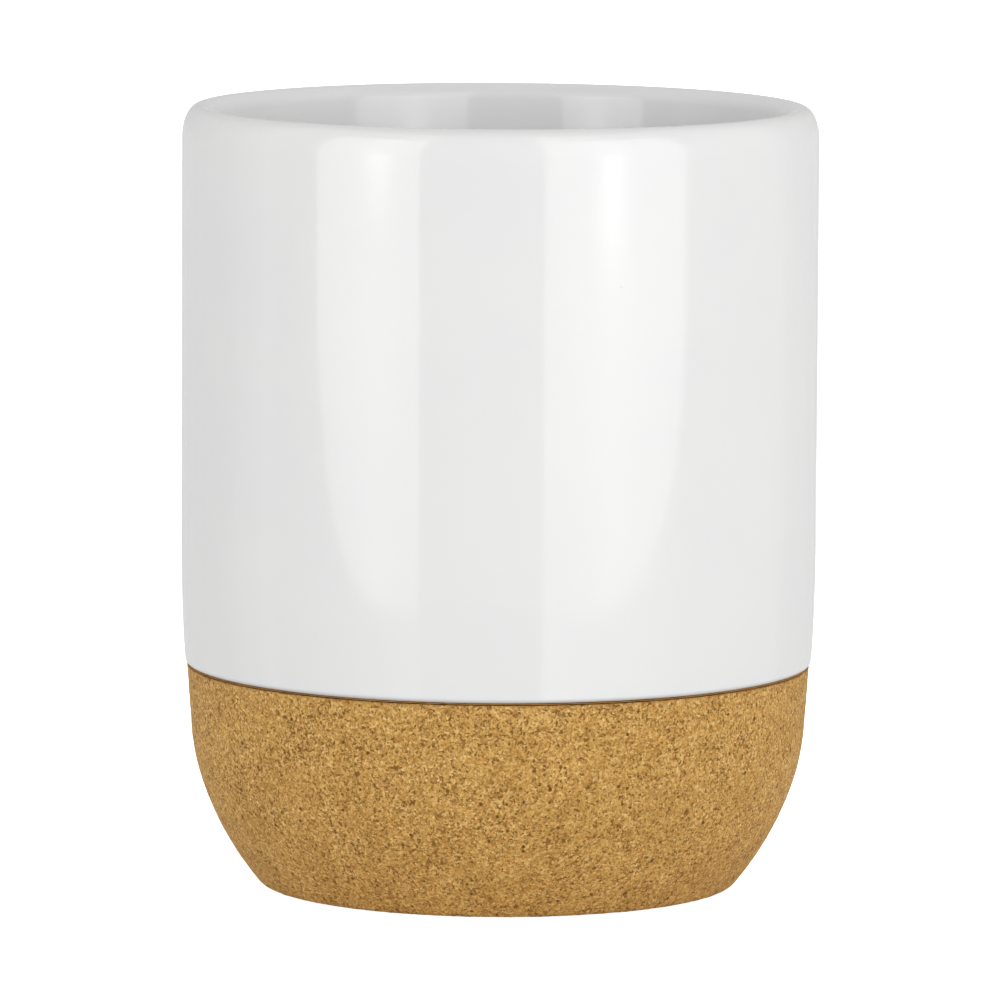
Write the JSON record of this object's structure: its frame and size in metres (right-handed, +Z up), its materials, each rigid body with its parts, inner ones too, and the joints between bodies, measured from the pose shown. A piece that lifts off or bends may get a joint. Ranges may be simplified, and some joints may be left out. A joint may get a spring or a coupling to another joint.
{
  "type": "tumbler",
  "caption": "Handleless round drinking tumbler in glazed ceramic, open at the top, its foot glued into a turned cork base with a flat underside.",
  "frame": {"origin": "centre of the cork base's flat underside, where the cup stands", "axes": "+Z up along the cup's axis of turning, from the underside to the mouth; X and Y are any two directions across, since the cup is round"},
  "size_m": [0.084, 0.084, 0.1033],
  "materials": {
    "white_glaze": "glossy off-white glaze, slightly wavy, fired on; bare biscuit on the hidden spigot and foot",
    "pressed_cork": "fine pressed cork granules, matt, sanded smooth, with small dark bark specks",
    "adhesive": "dark brown set adhesive, satin"
  },
  "bodies": {
    "root": {"ceramic_body": "white_glaze", "cork_base": "pressed_cork", "wall_glue_band": "adhesive", "foot_glue_ring": "adhesive"}
  },
  "joints": []
}
